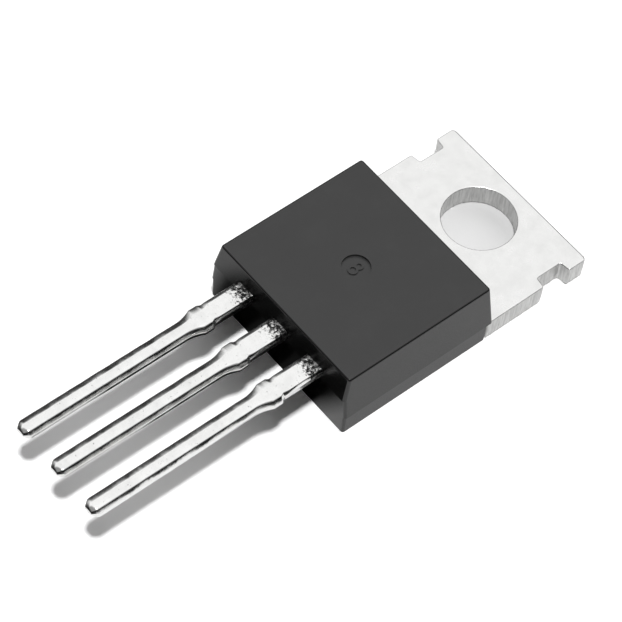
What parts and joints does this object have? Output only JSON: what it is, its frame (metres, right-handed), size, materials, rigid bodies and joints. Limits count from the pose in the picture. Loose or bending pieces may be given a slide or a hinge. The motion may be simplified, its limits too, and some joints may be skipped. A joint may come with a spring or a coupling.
{
  "type": "thyristor",
  "caption": "Thyristor in a flat black epoxy body with a drilled metal heatsink tab and a row of straight through-hole leads.",
  "frame": {"origin": "axis of the mounting hole, in the seating face on the tab's back", "axes": "+Z out of the marked face, along the mounting hole; +Y from the leads to the tab's free end; +X from the cathode lead to the gate lead"},
  "size_m": [0.01, 0.0283, 0.004],
  "materials": {
    "epoxy": "moulded black epoxy, fine satin",
    "tinned_copper": "bright tin plate on copper",
    "silicon": "polished silicon",
    "solder": "dull solder",
    "aluminium_wire": "drawn aluminium"
  },
  "bodies": {
    "root": {"epoxy_body": "epoxy", "heatsink_tab": "tinned_copper", "cathode_lead": "tinned_copper", "gate_lead": "tinned_copper", "silicon_die": "silicon", "die_solder": "solder", "cathode_bond_wire_1": "aluminium_wire", "cathode_bond_wire_2": "aluminium_wire", "gate_bond_wire": "aluminium_wire"}
  },
  "joints": []
}
